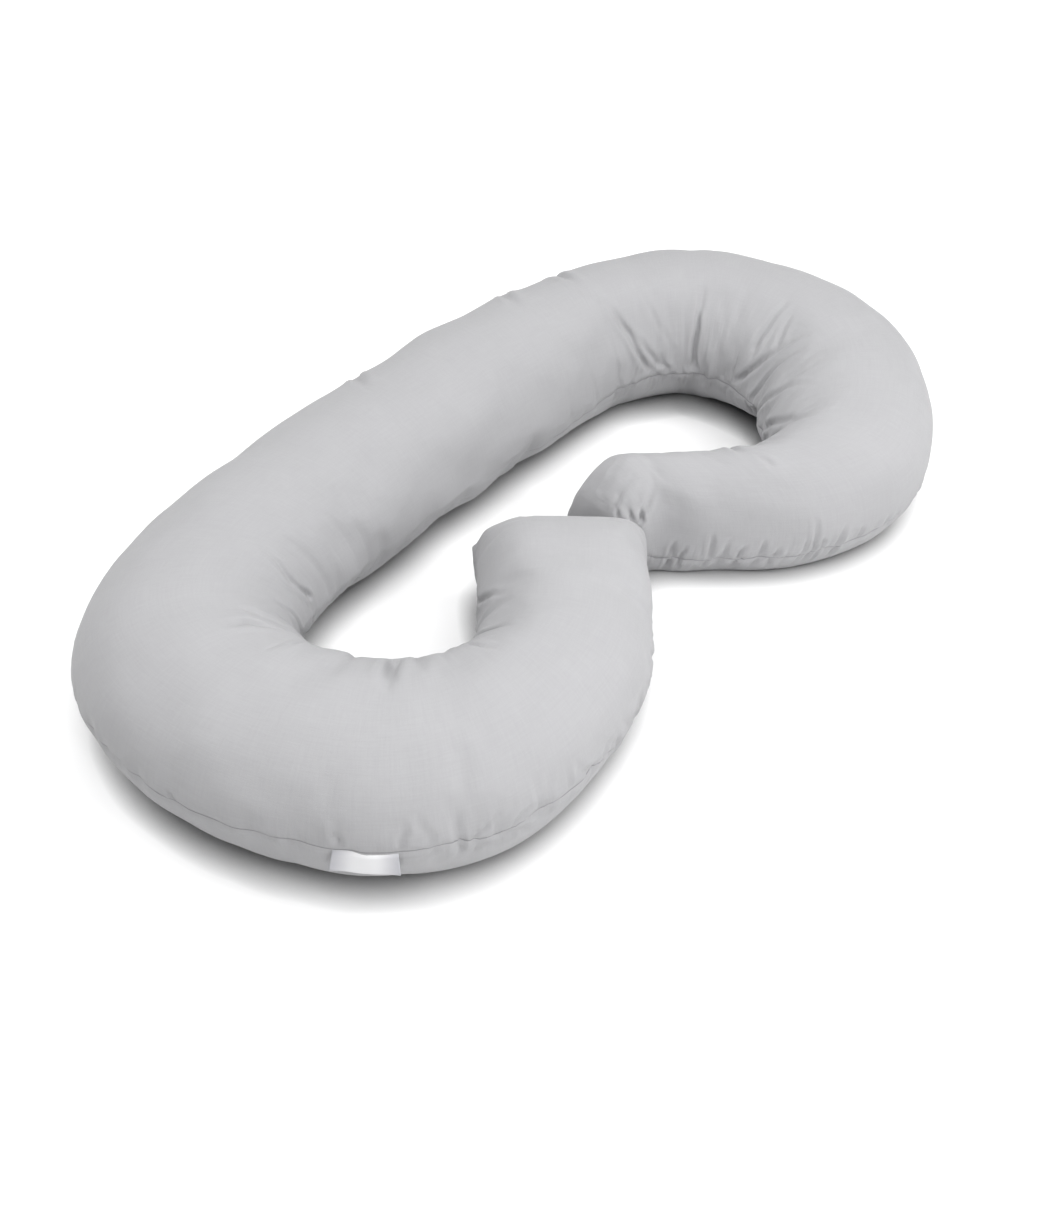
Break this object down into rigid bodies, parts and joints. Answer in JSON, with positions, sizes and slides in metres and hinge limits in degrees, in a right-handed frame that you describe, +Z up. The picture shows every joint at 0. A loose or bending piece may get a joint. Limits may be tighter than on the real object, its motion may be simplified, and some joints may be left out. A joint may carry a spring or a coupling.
{
  "type": "body pillow",
  "caption": "C-shaped filled body pillow whose two arms curl in until their tips nearly meet, with a plain woven cover and a blank satin tab in its seam.",
  "frame": {"origin": "on the surface the pillow lies on, under the middle of its box", "axes": "+X along the long back of the C, towards the wider pocket; +Y from the two arms to the back; +Z up"},
  "size_m": [1.3256, 0.7316, 0.2141],
  "materials": {
    "cover_cloth": "matt plain-weave cotton",
    "tab_satin": "soft satin ribbon"
  },
  "bodies": {
    "root": {"pillow": "cover_cloth", "tab": "tab_satin"}
  },
  "joints": []
}
